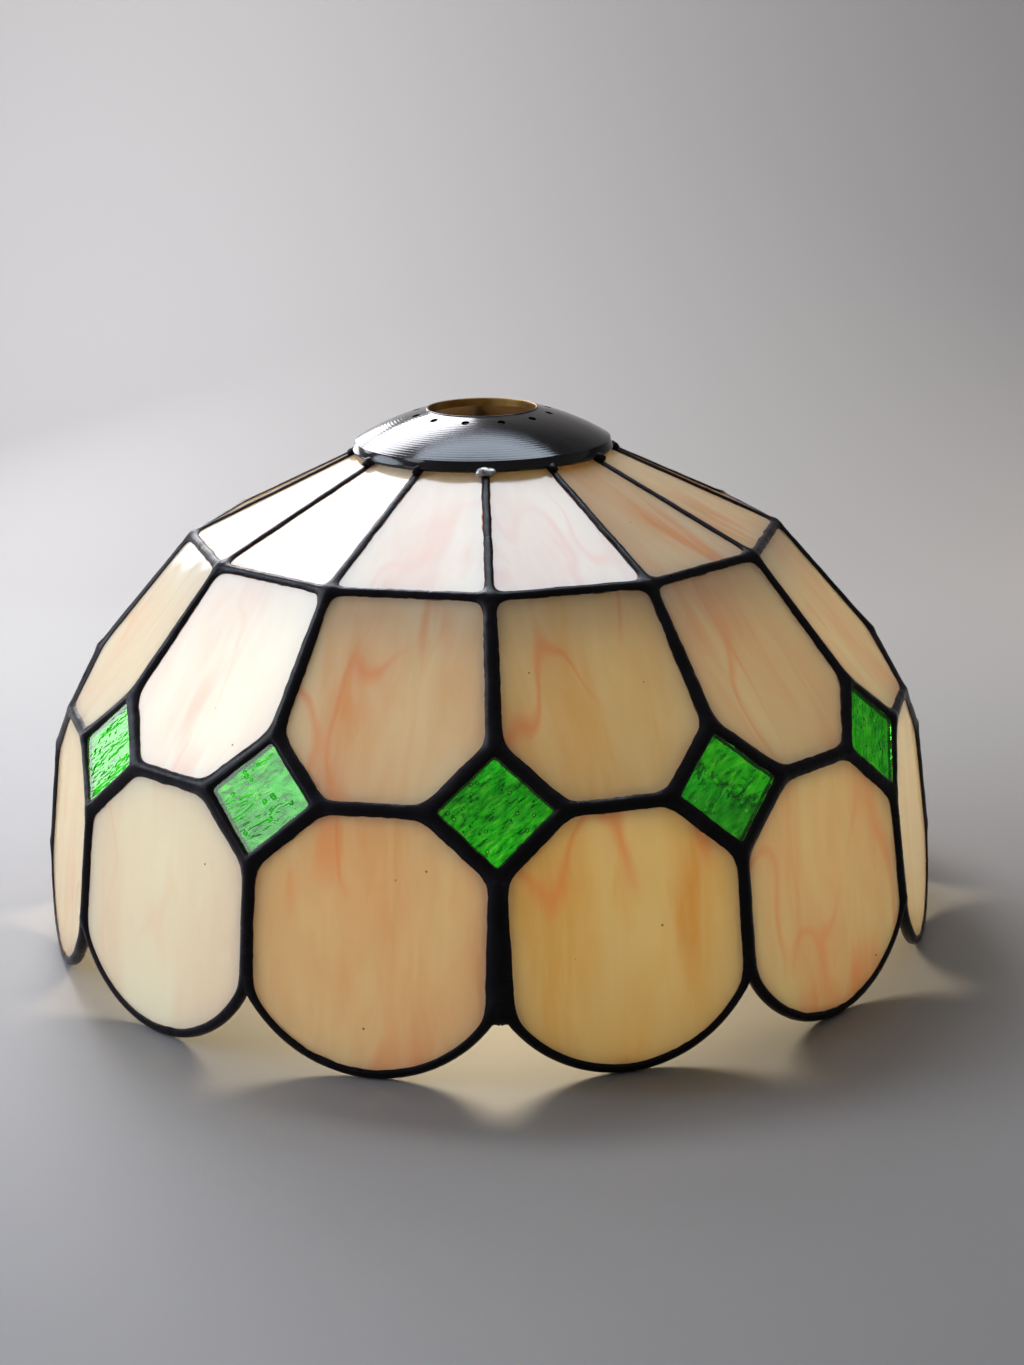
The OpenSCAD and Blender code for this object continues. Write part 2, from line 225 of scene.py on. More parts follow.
class Joint:
    """The middle line between two panes, or along a pane's free edge, from key a to b."""

    def __init__(self, a, b):
        self.a, self.b = a, b
        self.panes = []
        self.ends = []

    def add(self, pane, start, end):
        self.panes.append(pane)
        self.ends.append((start, end))

    def free(self):
        return len(self.panes) == 1

    def rim(self):
        return self.a[0] == "notch" and self.b[0] == "notch"

    def out(self):
        return unit(sum(pane.out for pane in self.panes))

    def line(self):
        """A point of the middle line, on the panes' outer planes, and its direction."""
        start, end = np.mean(self.ends, 0)
        middle = (start + end) / 2
        if self.free():
            return middle + THROAT_GAP * self.panes[0].up, unit(end - start)
        out = self.out()
        lift = np.mean([(p.origin - middle) @ p.out / (out @ p.out) for p in self.panes])
        return middle + lift * out, unit(end - start)

    def crest(self):
        if self.rim():
            return RIM_CREST
        return min(CREST[pane.row] for pane in self.panes)


joints = {}
for pane in panes:
    corners = pane.space(pane.corners)
    for k, (a, b) in enumerate(pane.edges()):
        ends = corners[k], corners[(k + 1) % len(corners)]
        if a > b:
            a, b, ends = b, a, ends[::-1]
        joints.setdefault((a, b), Joint(a, b)).add(pane, *ends)


def nearest_point(lines):
    """The point nearest to several lines, each given by a point and a direction."""
    left, right = np.zeros((3, 3)), np.zeros(3)
    for point, direction in lines:
        project = np.eye(3) - np.outer(direction, direction)
        left += project
        right += project @ point
    return np.linalg.solve(left, right)


def circle_crossing(pane, radius, point, direction, near):
    """Where a line in the pane's plane crosses its scallop circle, nearest to a point."""
    centre = pane.arc[0]
    along = (centre - point) @ direction
    foot = point + along * direction
    half = sqrt(radius ** 2 - ((centre - foot) ** 2).sum())
    both = [foot + half * direction, foot - half * direction]
    return min(both, key=lambda p: np.linalg.norm(p - near))


def lay_junctions():
    """Place of every junction, and its outward direction."""
    meeting = defaultdict(list)
    for joint in joints.values():
        meeting[joint.a].append(joint)
        meeting[joint.b].append(joint)
    places, outs = {}, {}
    for key, group in meeting.items():
        around = {pane.name: pane.out for joint in group for pane in joint.panes}
        outs[key] = unit(sum(around.values()))
        if key[0] != "notch":
            places[key] = nearest_point([joint.line() for joint in group])
            continue
        seam = next(joint for joint in group if not joint.free())
        pane = next(joint for joint in group if joint.free()).panes[0]
        point, direction = seam.line()
        flat, run = pane.flat(point), unit(pane.flat(point + direction) - pane.flat(point))
        below = np.array((flat[0], pane.arc[0][1] - pane.arc[1]))
        radius = pane.arc[1] - RIM_COVER
        places[key] = pane.space(circle_crossing(pane, radius, flat, run, below))
    return places, outs


junction, junction_out = lay_junctions()


class Crests:
    """Points along the middle of every joint, shared by the panes beside them."""

    def __init__(self):
        self.place, self.out, self.rise, self.sink, self.away = [], [], [], [], []
        self.runs = {}
        ids = {key: self.add_junction(key) for key in sorted(junction)}
        for key in sorted(joints):
            self.runs[key] = self.add_run(joints[key], ids)
        self.place, self.out = np.array(self.place), np.array(self.out)
        bumps = ripple(self.place, 7 * MM) + 0.5 * ripple(self.place, 2.5 * MM, 9)
        self.rise = np.array(self.rise) * (1 + UNEVEN * bumps)
        self.sink = np.array(self.sink)
        self.away = np.array(self.away)
        self.outer = self.place + self.rise[:, None] * self.out
        self.inner = self.place - self.sink[:, None] * self.out

    def add(self, place, out, rise, sink, away):
        for store, value in zip((self.place, self.out, self.rise, self.sink, self.away),
                                (place, out, rise, sink, away)):
            store.append(value)
        return len(self.place) - 1

    def add_junction(self, key):
        group = [joint for joint in joints.values() if key in (joint.a, joint.b)]
        out = junction_out[key]
        pane = group[0].panes[0]
        rise = np.mean([joint.crest() for joint in group]) + JUNCTION_CREST
        sink = pane.thickness / (out @ pane.out) + INNER_CREST + JUNCTION_CREST
        away = np.zeros(3)
        for joint in (j for j in group if j.free()):
            away += free_direction(joint, junction[key])
        if away.any():
            away = unit(away - (away @ out) * out) * free_reach(key)
        return self.add(junction[key], out, rise, sink, away)

    @staticmethod
    def nearness(joint, place, end):
        """1 at the end of a joint, falling to 0 where its solder stops gathering."""
        gap = np.linalg.norm(place - end)
        if joint.free():
            return max(0, 1 - gap / FREE_JUNCTION_REACH)
        return smooth(1 - gap / JUNCTION_REACH)

    def add_run(self, joint, ids):
        """Adds the points between a joint's ends, and lists all its points by number."""
        a, b = junction[joint.a], junction[joint.b]
        pane = joint.panes[0]
        count = max(4, round(np.linalg.norm(b - a) / COLUMN))
        if joint.rim():
            flat, _ = arc_points(pane, pane.flat(a), pane.flat(b), count)
            places = pane.space(flat)
        else:
            places = a + (b - a) * np.linspace(0, 1, count + 1)[:, None]
        run = [ids[joint.a]]
        for k in range(1, count):
            place = places[k]
            near_a, near_b = self.nearness(joint, place, a), self.nearness(joint, place, b)
            far = 1 - near_a - near_b
            out = unit(far * joint.out() + near_a * junction_out[joint.a]
                       + near_b * junction_out[joint.b])
            inner = RIM_CREST if joint.rim() else INNER_CREST
            sink = pane.thickness / (out @ pane.out) + inner
            gather = (near_a + near_b) * JUNCTION_CREST
            away = np.zeros(3)
            if joint.free():
                away = far * free_direction(joint, place) * free_reach(joint.a, plain=True)
                gathered = near_a * self.away[ids[joint.a]] + near_b * self.away[ids[joint.b]]
                away += WEB_SPREAD * gathered
            run.append(self.add(place, out, joint.crest() + gather, sink + gather, away))
        return run + [ids[joint.b]]


def free_direction(joint, place):
    """Away from the pane, in its plane, at a place on its free edge."""
    pane = joint.panes[0]
    if not joint.rim():
        return pane.up
    return unit(place - pane.space(pane.arc[0]))


def free_reach(key, plain=False):
    """How far solder reaches beyond a free edge, with or without what fills a notch."""
    if key[0] == "throat":
        return THROAT_REACH
    fill = FRONT_FILL if key == ("notch", 1) else NOTCH_FILL
    return RIM_REACH if plain else RIM_REACH + fill


def arc_points(pane, start, end, count):
    """Points from start to end round the lower side of the scallop, and their angles."""
    centre = pane.arc[0]
    angles = [np.arctan2(*(centre - p)) for p in (start, end)]
    turn = np.linspace(*angles, count + 1)
    radius = np.linspace(*[np.linalg.norm(p - centre) for p in (start, end)], count + 1)
    return centre - radius[:, None] * np.stack((np.sin(turn), np.cos(turn)), 1), turn


crests = Crests()

# -------------------------------- rings round each pane


def reach_at(pane, joint, key):
    """Width of the solder on this pane at one end of a joint."""
    other = [p.row for p in joint.panes if p is not pane]
    high, low = REACH[pane.row, other[0] if other else "nothing"]
    if {joint.a, joint.b} == {("low", 1), ("notch", 1)}:
        high, low = high * FRONT_SEAM[0], low * FRONT_SEAM[1]
    other_key = joint.b if key == joint.a else joint.a
    upper = junction[key][2] > junction[other_key][2]
    return (high if upper else low) * MM


def border_corners(pane):
    """Corners of the outline that the solder leaves bare, before they are rounded."""
    points = pane.flat(np.array([junction[key] for key in pane.keys]))
    lines = []
    for k, (a, b) in enumerate(pane.edges()):
        joint = joints[min(a, b), max(a, b)]
        start, end = points[k], points[(k + 1) % len(points)]
        run = unit(end - start)
        inward = np.array((-run[1], run[0]))
        first = start + reach_at(pane, joint, a) * inward
        last = end + reach_at(pane, joint, b) * inward
        lines.append((first, unit(last - first), joint))
    corners = []
    for k, (point, run, joint) in enumerate(lines):
        before, before_run, before_joint = lines[k - 1]
        if joint.rim() or before_joint.rim():
            straight = (before, before_run) if joint.rim() else (point, run)
            radius = pane.arc[1] - RIM_COVER - REACH["skirt_panel", "nothing"][0] * MM
            corners.append(circle_crossing(pane, radius, *straight, points[k]))
        else:
            corners.append(meet(before, before_run, point, run))
    return np.array(corners)


def ring_between(pane, corners):
    """Points from corner to corner, as many along each edge as its joint has."""
    parts = []
    for k, (a, b) in enumerate(pane.edges()):
        joint = joints[min(a, b), max(a, b)]
        count = len(crests.runs[joint.a, joint.b]) - 1
        start, end = corners[k], corners[(k + 1) % len(corners)]
        if joint.rim():
            parts.append(arc_points(pane, start, end, count)[0][:-1])
        else:
            parts.append(start + (end - start) * np.linspace(0, 1, count + 1)[:-1, None])
    return np.concatenate(parts)


def crest_ring(pane):
    """Numbers of the crest points round a pane."""
    ids = []
    for a, b in pane.edges():
        run = crests.runs[min(a, b), max(a, b)]
        ids += (run if a < b else run[::-1])[:-1]
    return np.array(ids)


class Rings:
    """Matching rings of points round a pane: joint middle, solder border, glass edge."""

    def __init__(self, pane):
        self.pane = pane
        self.ids = crest_ring(pane)
        middle = pane.flat(crests.place[self.ids])
        border = ring_between(pane, border_corners(pane))
        for _ in range(DIAMOND_ROUNDING if pane.row == "diamond" else ROUNDING):
            border = border / 2 + (np.roll(border, 1, 0) + np.roll(border, -1, 0)) / 4
        inward = unit(border - middle)
        place = pane.space(border)
        shift = 3.0 * pane.number + 50 * ROWS.index(pane.row)
        sway = SWAY * ripple(place, 9 * MM, shift)
        sway += SHORT_SWAY * ripple(place, 2.6 * MM, shift)
        drip = DRIP * np.clip(ripple(place, 3.5 * MM, shift + 7) - 0.3, 0, 1)
        self.border = border + inward * ((sway + drip) * MM)[:, None]
        lean = pane.flat(crests.place[self.ids] - pane.thickness * crests.out[self.ids])
        self.inner_border = self.border + (lean - middle)
        self.glass = ring_between(pane, pane.corners)
        self.foil = self.glass - inward * FOIL
        fringe = 0.1 + FRINGE * np.clip(ripple(place, 5 * MM, shift + 20), 0, 1)
        fringe = fringe * (0.5 if pane.row == "diamond" else 1)
        fringe += SHORT_FRINGE * ripple(place, 1.5 * MM, shift + 30)
        self.fringe = self.border + inward * (np.clip(fringe, 0.03, 1) * MM)[:, None]
        self.inner_fringe = self.inner_border + (self.fringe - self.border)


rings = {pane.name: Rings(pane) for pane in panes}

# -------------------------------- mesh helpers


def add_object(name, data):
    made = bpy.data.objects.new(name, data)
    bpy.context.scene.collection.objects.link(made)
    return made


def new_piece(name, places, faces, material, smooth_shading=True):
    mesh = bpy.data.meshes.new(name)
    mesh.from_pydata([tuple(p) for p in places], [], [tuple(map(int, f)) for f in faces])
    mesh.update()
    piece = add_object(name, mesh)
    mesh.materials.append(material)
    mesh.polygons.foreach_set("use_smooth", [smooth_shading] * len(mesh.polygons))
    return piece


def face_outward(piece):
    """Turns all faces of a closed mesh outward."""
    work = bmesh.new()
    work.from_mesh(piece.data)
    bmesh.ops.recalc_face_normals(work, faces=work.faces)
    work.to_mesh(piece.data)
    work.free()


def band(first, second):
    """Quads between two closed rings of vertex numbers."""
    return np.stack((first, np.roll(first, -1), np.roll(second, -1), second), 1)


def settle(piece, slot, *nodes):
    """The piece rides on the shade and stands for nodes, which it hides. The slot is not used."""
    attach(piece, "root")
    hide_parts(*nodes)


# -------------------------------- solder


def solder_rows(ring):
    """Points of one pane's side of the solder, from outer crest to inner crest."""
    pane, t = ring.pane, ring.pane.thickness
    out = crests.out[ring.ids]
    rows = []

    def dome(crest, foot, share):
        drop = ((crest - foot) * out).sum(1, keepdims=True)
        return crest + share * (foot - crest) + share * (1 - share) * drop * out

    foot = pane.space(ring.border, FOIL + BORDER)
    rows += [dome(crests.outer[ring.ids], foot, share) for share in OUTER_SHARES]
    rows.append(pane.space(ring.border, FOIL - BITE))
    hidden = ring.foil + (ring.foil - ring.glass) * BITE / FOIL
    rows.append(pane.space(hidden, FOIL + BITE))
    rows.append(pane.space(hidden, -t - FOIL - BITE))
    rows.append(pane.space(ring.inner_border, -t - FOIL + BITE))
    foot = pane.space(ring.inner_border, -t - FOIL - BORDER)
    rows += [dome(crests.inner[ring.ids], foot, share) for share in INNER_SHARES]
    return rows


def wrap_points():
    """Points round the free side of the throat and rim beads, by crest number."""
    places, numbers = [], {}
    for k in np.flatnonzero(np.abs(crests.away).sum(1) > 0):
        numbers[k] = []
        for step in range(1, WRAP_STEPS + 1):
            turn = pi * step / (WRAP_STEPS + 1)
            high, deep = crests.rise[k], -crests.sink[k]
            level = (high + deep) / 2 + (high - deep) / 2 * cos(turn)
            numbers[k].append(len(places))
            places.append(crests.place[k] + crests.away[k] * sin(turn)
                          + crests.out[k] * level)
    return places, numbers


def solder_lattice(material):
    """All the leading as one closed body."""
    total = len(crests.place)
    places = [crests.outer, crests.inner]
    faces = []
    used = 2 * total
    for ring in rings.values():
        rows = solder_rows(ring)
        count = len(ring.ids)
        chain = [ring.ids]
        chain += [used + k * count + np.arange(count) for k in range(len(rows))]
        chain.append(ring.ids + total)
        faces += [band(a, b) for a, b in zip(chain, chain[1:])]
        places += rows
        used += count * len(rows)
    wrap, numbers = wrap_points()
    places.append(np.array(wrap))
    for joint in (j for j in joints.values() if j.free()):
        run = crests.runs[joint.a, joint.b]
        chains = [[k] + [used + n for n in numbers[k]] + [k + total] for k in run]
        for here, there in zip(chains, chains[1:]):
            faces.append(np.stack((here[:-1], here[1:], there[1:], there[:-1]), 1))
    piece = new_piece("solder_lattice", np.concatenate(places), np.concatenate(faces),
                      material)
    face_outward(piece)
    settle(piece, "solder", "crown_solder", "shoulder_ring_solder", "shoulder_solder",
           "waist_solder", "skirt_solder", "rim_solder")


# -------------------------------- foil


def foil_channels(row, material):
    """The foil of one row of panes: a channel round each, with a leg on both faces."""
    places, faces = [], []
    used = 0
    for ring in (r for r in rings.values() if r.pane.row == row):
        pane, t, count = ring.pane, ring.pane.thickness, len(ring.ids)
        loops = [(ring.fringe, -BITE), (ring.fringe, FOIL), (ring.foil, FOIL),
                 (ring.foil, -t - FOIL), (ring.inner_fringe, -t - FOIL),
                 (ring.inner_fringe, -t + BITE), (ring.glass, -t + BITE),
                 (ring.glass, -BITE)]
        places += [pane.space(flat, height) for flat, height in loops]
        chain = [used + k * count + np.arange(count) for k in range(len(loops))]
        faces += [band(a, b) for a, b in zip(chain, chain[1:] + chain[:1])]
        used += count * len(loops)
    name = row.replace("_panel", "") + "_foil"
    piece = new_piece(name + "_channels", np.concatenate(places), np.concatenate(faces),
                      material, smooth_shading=False)
    face_outward(piece)
    settle(piece, "copper_foil", name)


# -------------------------------- glass

PITCH = 3 * MM  # spacing of the mesh over a pane
FINE_PITCH = 0.42 * MM  # and over a diamond
RELIEF_FADE = 3.5 * MM  # the relief dies out over this width beside the foil
RIDGE_TURN = radians(38)  # the ridges of the green glass slant by this much
BUBBLES = 26
BUBBLE_SPREAD = 13 * MM  # from the middle of the diamond
BUBBLE_SEED = 100
TONE_SEED = 500
# Warmth of the glass: 0 is pinkish and 1 is yellowish. Below 0 a pane is also whitened,
# as painted glare that stands for sunlight and glare on it. The panes in front are chosen.
TONES_AND_GLARE = {
    ("crown_panel", 11): -0.6, ("crown_panel", 12): -0.6, ("crown_panel", 1): -0.4,
    ("shoulder_panel", 10): -0.7, ("shoulder_panel", 11): -0.5, ("shoulder_panel", 12): 0.35,
    ("shoulder_panel", 1): 0.8, ("shoulder_panel", 2): -0.3, ("shoulder_panel", 3): -0.3,
    ("skirt_panel", 10): -0.8, ("skirt_panel", 11): -0.9, ("skirt_panel", 12): 0.2,
    ("skirt_panel", 1): 0.9, ("skirt_panel", 2): -0.3, ("skirt_panel", 3): -0.8,
}


def pane_tone_and_glare(pane):
    draw = np.random.default_rng(TONE_SEED + 20 * ROWS.index(pane.row) + pane.number)
    return TONES_AND_GLARE.get((pane.row, pane.number), draw.uniform(0.1, 0.8))


def inside(points, outline):
    """Which points lie in a closed outline."""
    a, b = outline, np.roll(outline, -1, 0)
    x, y = points[:, :1], points[:, 1:]
    straddles = (a[:, 1] > y) != (b[:, 1] > y)
    rise = np.where(b[:, 1] == a[:, 1], 1, b[:, 1] - a[:, 1])
    crossing = a[:, 0] + (y - a[:, 1]) * (b[:, 0] - a[:, 0]) / rise
    return (straddles & (x < crossing)).sum(1) % 2 == 1


def edge_distance(points, outline):
    """How far each point lies from an outline."""
    a, b = outline, np.roll(outline, -1, 0)
    run = b - a
    t = ((points[:, None] - a) * run).sum(2) / (run ** 2).sum(1)
    near = a + np.clip(t, 0, 1)[..., None] * run
    return np.linalg.norm(points[:, None] - near, axis=2).min(1)


def face_grid(outline, pitch):
    """Triangles that fill an outline with points about one pitch apart."""
    low, high = outline.min(0), outline.max(0)
    x = np.arange(low[0], high[0], pitch)
    y = np.arange(low[1], high[1], pitch * sqrt(0.75))
    grid = np.stack(np.meshgrid(x, y), -1)
    grid[1::2, :, 0] += pitch / 2
    grid = grid.reshape(-1, 2)
    grid = grid[inside(grid, outline)]
    grid = grid[edge_distance(grid, outline) > pitch * 0.6]
    points = np.concatenate((outline, grid)) / MM
    verts, _, faces, origin, _, _ = geometry.delaunay_2d_cdt(
        [Vector(p) for p in points], [], [list(range(len(outline)))], 1, 1e-5)
    border = {source[0]: k for k, source in enumerate(origin) if source}
    return np.array(verts) * MM, faces, [border[k] for k in range(len(outline))]


def with_depth(flat, depth):
    """Places with a third coordinate, by which each pane gets noise of its own."""
    return np.column_stack((flat, np.full(len(flat), depth)))


def opal_relief(pane, flat):
    """Slow waves of rolled glass, in millimetres."""
    place = with_depth(flat, 0.3 * pane.number)
    return 0.05 * ripple(place, 17 * MM) + 0.02 * ripple(place, 7 * MM, 5)


def cathedral_relief(pane, flat):
    """Short slanting ridges, and the round humps of bubbles near the face, in millimetres."""
    along = flat @ np.array((cos(RIDGE_TURN), sin(RIDGE_TURN)))
    side = flat @ np.array((-sin(RIDGE_TURN), cos(RIDGE_TURN)))
    place = with_depth(np.column_stack((along / 5, side)), 0.3 * pane.number)
    ridge = 1 - np.abs(ripple(place, 1.1 * MM)) * 2.2
    patch = smooth(ripple(place, 4.5 * MM, 3) * 1.6 + 0.55)
    relief = 0.11 * patch * np.clip(ridge, -0.4, 1) + 0.08 * ripple(place, 3 * MM, 8)
    draw = np.random.default_rng(BUBBLE_SEED + pane.number)
    centres = draw.uniform(-BUBBLE_SPREAD, BUBBLE_SPREAD, (BUBBLES, 2))
    for centre, size in zip(centres, draw.uniform(0.3, 0.75, BUBBLES)):
        gap = np.linalg.norm(flat - centre, axis=1) / (size * MM)
        relief += 0.22 * size * np.exp(-gap ** 4)
    return relief


def glass_pane(pane, material, slot):
    """A pane of its own thickness, rippled on its outer face away from its foil."""
    fine = pane.row == "diamond"
    outline = rings[pane.name].glass
    flat, faces, border = face_grid(outline, FINE_PITCH if fine else PITCH)
    fade = smooth(edge_distance(flat, outline) / RELIEF_FADE)
    relief = (cathedral_relief if fine else opal_relief)(pane, flat) * fade * MM
    back = opal_relief(pane, flat + 0.4) * fade * MM
    places = np.concatenate((pane.space(flat, relief), pane.space(flat, back - pane.thickness)))
    count = len(flat)
    solid = [list(face) for face in faces]
    solid += [[count + k for k in reversed(face)] for face in faces]
    sides = zip(border, border[1:] + border[:1])
    solid += [[a, b, b + count, a + count][::-1] for a, b in sides]
    piece = new_piece(pane.name + "_glass", places, solid, material)
    face_outward(piece)
    piece.data.set_sharp_from_angle(angle=SHARP)
    local = with_depth(np.tile(flat, (2, 1)), 0.37 * pane.number + 5.3 * ROWS.index(pane.row))
    place = piece.data.attributes.new("pane_place", "FLOAT_VECTOR", "POINT")
    place.data.foreach_set("vector", local.ravel())
    # the pane's warmth, with painted glare where it is below 0
    tone_and_glare = piece.data.attributes.new("tone_and_glare", "FLOAT", "POINT")
    tone_and_glare.data.foreach_set("value", [pane_tone_and_glare(pane)] * (2 * count))
    settle(piece, slot, pane.name)


# -------------------------------- cap and its tacks

CAP_LOW, CAP_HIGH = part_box("vase_cap")
CAP_R = CAP_HIGH.x
CAP_BORE = 20.5 * MM
CAP_SHEET = 0.9 * MM
CAP_COLLAR = 3 * MM
CAP_LIP = 0.5 * MM  # the collar stands this far above the dome
CAP_DOME_R = 98 * MM
CAP_SLOPE = radians(14)
ROLL = 0.95 * MM  # radius of the rolled edge
CAP_STEPS = 144  # round the cap
DOME_STEPS = 26  # along its dome
VENTS = 12
VENT_R = 26 * MM
VENT_SIZE = 1.5 * MM
# Half sizes of the tacks, round the cap's edge, along it and upward; the front one is large
TACK = (2.6, 2.3, 1.5)
FRONT_TACK = (2.6, 3.8, 1.7)
TACK_LEAN = radians(25)


def arc(centre, radius, start, end, count):
    """Points (r, z) along an arc, with its angles in degrees from the +r direction."""
    turns = np.radians(np.linspace(start, end, count))
    return [(centre[0] + radius * cos(a), centre[1] + radius * sin(a)) for a in turns]


def cap_profile():
    """The closed section of the spun cap, from the foot of the collar's bore."""
    top = CAP_HIGH.z
    wall = CAP_BORE + CAP_SHEET
    centre = (wall - CAP_DOME_R * sin(CAP_SLOPE), top - CAP_LIP - CAP_DOME_R * cos(CAP_SLOPE))

    def dome(r, radius):
        return r, centre[1] + sqrt(radius ** 2 - (r - centre[0]) ** 2)

    reach = np.linspace(wall + 0.5 * MM, CAP_R - ROLL * 1.2, DOME_STEPS)
    half = CAP_SHEET / 2
    profile = [(CAP_BORE, top - CAP_COLLAR), (CAP_BORE, top - CAP_COLLAR / 2)]
    profile += arc((CAP_BORE + half, top - half), half, 180, 0, 7)
    profile += [dome(r, CAP_DOME_R) for r in reach]
    profile += arc((CAP_R - ROLL, CAP_LOW.z + ROLL), ROLL, 60, -200, 16)
    profile += [dome(r, CAP_DOME_R - CAP_SHEET) for r in reach[::-1]]
    profile += [(wall, top - CAP_COLLAR)]
    return profile


def lathe(profile, steps):
    """Places and faces of a section (r, z) turned about the vertical axis."""
    count = len(profile)
    places = [(r * cos(a), r * sin(a), z) for a in np.linspace(0, 2 * pi, steps + 1)[:-1]
              for r, z in profile]
    ring = np.arange(count)
    faces = []
    for k in range(steps):
        faces.append(band(k * count + ring, (k + 1) % steps * count + ring))
    return places, np.concatenate(faces)


def vent_cutter():
    work = bmesh.new()
    for k in range(VENTS):
        turn = 2 * pi * (k + 0.5) / VENTS
        place = Matrix.Translation((VENT_R * cos(turn), VENT_R * sin(turn), CAP_HIGH.z))
        bmesh.ops.create_cone(work, cap_ends=True, segments=20, radius1=VENT_SIZE,
                              radius2=VENT_SIZE, depth=CAP_DOME_R / 4, matrix=place)
    mesh = bpy.data.meshes.new("vent_cutter")
    work.to_mesh(mesh)
    work.free()
    return add_object("vent_cutter", mesh)


def apply_modifiers(piece):
    graph = bpy.context.evaluated_depsgraph_get()
    mesh = bpy.data.meshes.new_from_object(piece.evaluated_get(graph))
    piece.modifiers.clear()
    piece.data = mesh


def spun_cap(patina, brass):
    """Black outside, bare brass inside and in the bore."""
    places, faces = lathe(cap_profile(), CAP_STEPS)
    piece = new_piece("spun_cap", places, faces, patina)
    face_outward(piece)
    cutter = vent_cutter()
    cut = piece.modifiers.new("vents", "BOOLEAN")
    cut.operation, cut.solver, cut.object = "DIFFERENCE", "EXACT", cutter
    apply_modifiers(piece)
    bpy.data.objects.remove(cutter)
    mesh = piece.data
    mesh.materials.clear()
    mesh.materials.append(patina)
    mesh.materials.append(brass)
    for face in mesh.polygons:
        face.use_smooth = True
        flat = Vector((face.center.x, face.center.y, 0))
        inward = -face.normal.dot(flat.normalized())
        under = face.normal.z < -0.2 and flat.length < CAP_R - 2.2 * ROLL
        bore = inward > 0.5 and flat.length < CAP_BORE + CAP_SHEET / 4
        face.material_index = 1 if under or bore else 0
    mesh.set_sharp_from_angle(angle=SHARP)
    settle(piece, "cap_brass", "vase_cap")


def tacks(bright, dark):
    """Blobs of solder that hold the cap to the crown seams. The front one is bright."""
    work = bmesh.new()
    for k in range(SECTORS):
        turn = radians(360 / SECTORS * k - 90)
        size = RNG.uniform(0.8, 1.15, 3) * TACK * MM
        if k == 0:
            size = np.array(FRONT_TACK) * MM
        ball = bmesh.ops.create_icosphere(work, subdivisions=3, radius=1)["verts"]
        place = Vector((CAP_R - 0.2 * MM, 0, CAP_LOW.z + 0.4 * MM))
        lean = Matrix.Rotation(TACK_LEAN, 3, "Y")
        for vert in ball:
            lump = 1 + 0.22 * noise.noise(vert.co * 1.6 + Vector((9 * k, 0, 0)))
            local = lean @ Vector(vert.co * lump * Vector(size))
            vert.co = Matrix.Rotation(turn, 3, "Z") @ (place + local)
        for face in {f for vert in ball for f in vert.link_faces}:
            face.material_index = 0 if k == 0 else 1
            face.smooth = True
    mesh = bpy.data.meshes.new("cap_tacks")
    work.to_mesh(mesh)
    work.free()
    mesh.materials.append(bright)
    mesh.materials.append(dark)
    piece = add_object("cap_tacks", mesh)
    settle(piece, "bright_solder", "cap_solder_tacks")


# -------------------------------- materials


class Shader:
    """A material and short ways to add nodes to it."""

    def __init__(self, name):
        self.material = bpy.data.materials.new(name)
        self.material.use_nodes = True
        self.tree = self.material.node_tree
        self.main = self.tree.nodes["Principled BSDF"]
        self.output = self.tree.nodes["Material Output"]

    def node(self, kind, **settings):
        node = self.tree.nodes.new("ShaderNode" + kind)
        for name, value in settings.items():
            setattr(node, name, value)
        return node

    def link(self, source, target):
        self.tree.links.new(source, target)

    def feed(self, socket, value):
        """Gives a socket another node's output, a colour in three parts or a plain value."""
        if isinstance(value, bpy.types.NodeSocket):
            self.link(value, socket)
        elif socket.type == "RGBA":
            socket.default_value = (*value, 1)
        else:
            socket.default_value = value

    def set(self, node, **values):
        for name, value in values.items():
            self.feed(node.inputs[name.replace("_", " ")], value)

    def attribute(self, name):
        return self.node("Attribute", attribute_name=name)

    def object_place(self):
        return self.node("TexCoord").outputs["Object"]

    def math(self, operation, *values, kind="Math", clamp=False):
        node = self.node(kind, operation=operation)
        if clamp:
            node.use_clamp = True
        for socket, value in zip(node.inputs, values):
            self.feed(socket, value)
        return node.outputs[0]

    def scaled(self, vector, by):
        return self.math("MULTIPLY", vector, by, kind="VectorMath")

    def warped(self, vector, scale, amount):
        """The vector, pushed about by noise."""
        push = self.noise(vector, scale, detail=2, colour=True)
        centred = self.math("SUBTRACT", push, (0.5, 0.5, 0.5), kind="VectorMath")
        return self.math("MULTIPLY_ADD", centred, amount, vector, kind="VectorMath")

    def noise(self, vector, scale, detail=3.0, roughness=0.5, colour=False):
        node = self.node("TexNoise")
        self.set(node, Vector=vector, Scale=scale, Detail=detail, Roughness=roughness)
        return node.outputs["Color" if colour else "Fac"]

    def ramp(self, value, *stops):
        """Grey or colour by value: stops are (position, grey or colour)."""
        node = self.node("ValToRGB")
        points = node.color_ramp.elements
        while len(points) < len(stops):
            points.new(0.5)
        for point, (position, tint) in zip(points, stops):
            point.position = position
            point.color = (*tint, 1) if isinstance(tint, tuple) else (tint, tint, tint, 1)
        self.link(value, node.inputs[0])
        return node.outputs[0]

    def mix(self, factor, a, b, blend="MIX"):
        node = self.node("Mix", data_type="RGBA", blend_type=blend)
        sockets = [s for s in node.inputs if s.enabled]
        for socket, value in zip(sockets, (factor, a, b)):
            self.feed(socket, value)
        return next(s for s in node.outputs if s.enabled)

    def bump(self, height, strength, distance):
        node = self.node("Bump")
        self.set(node, Height=height, Strength=strength, Distance=distance)
        return node.outputs[0]


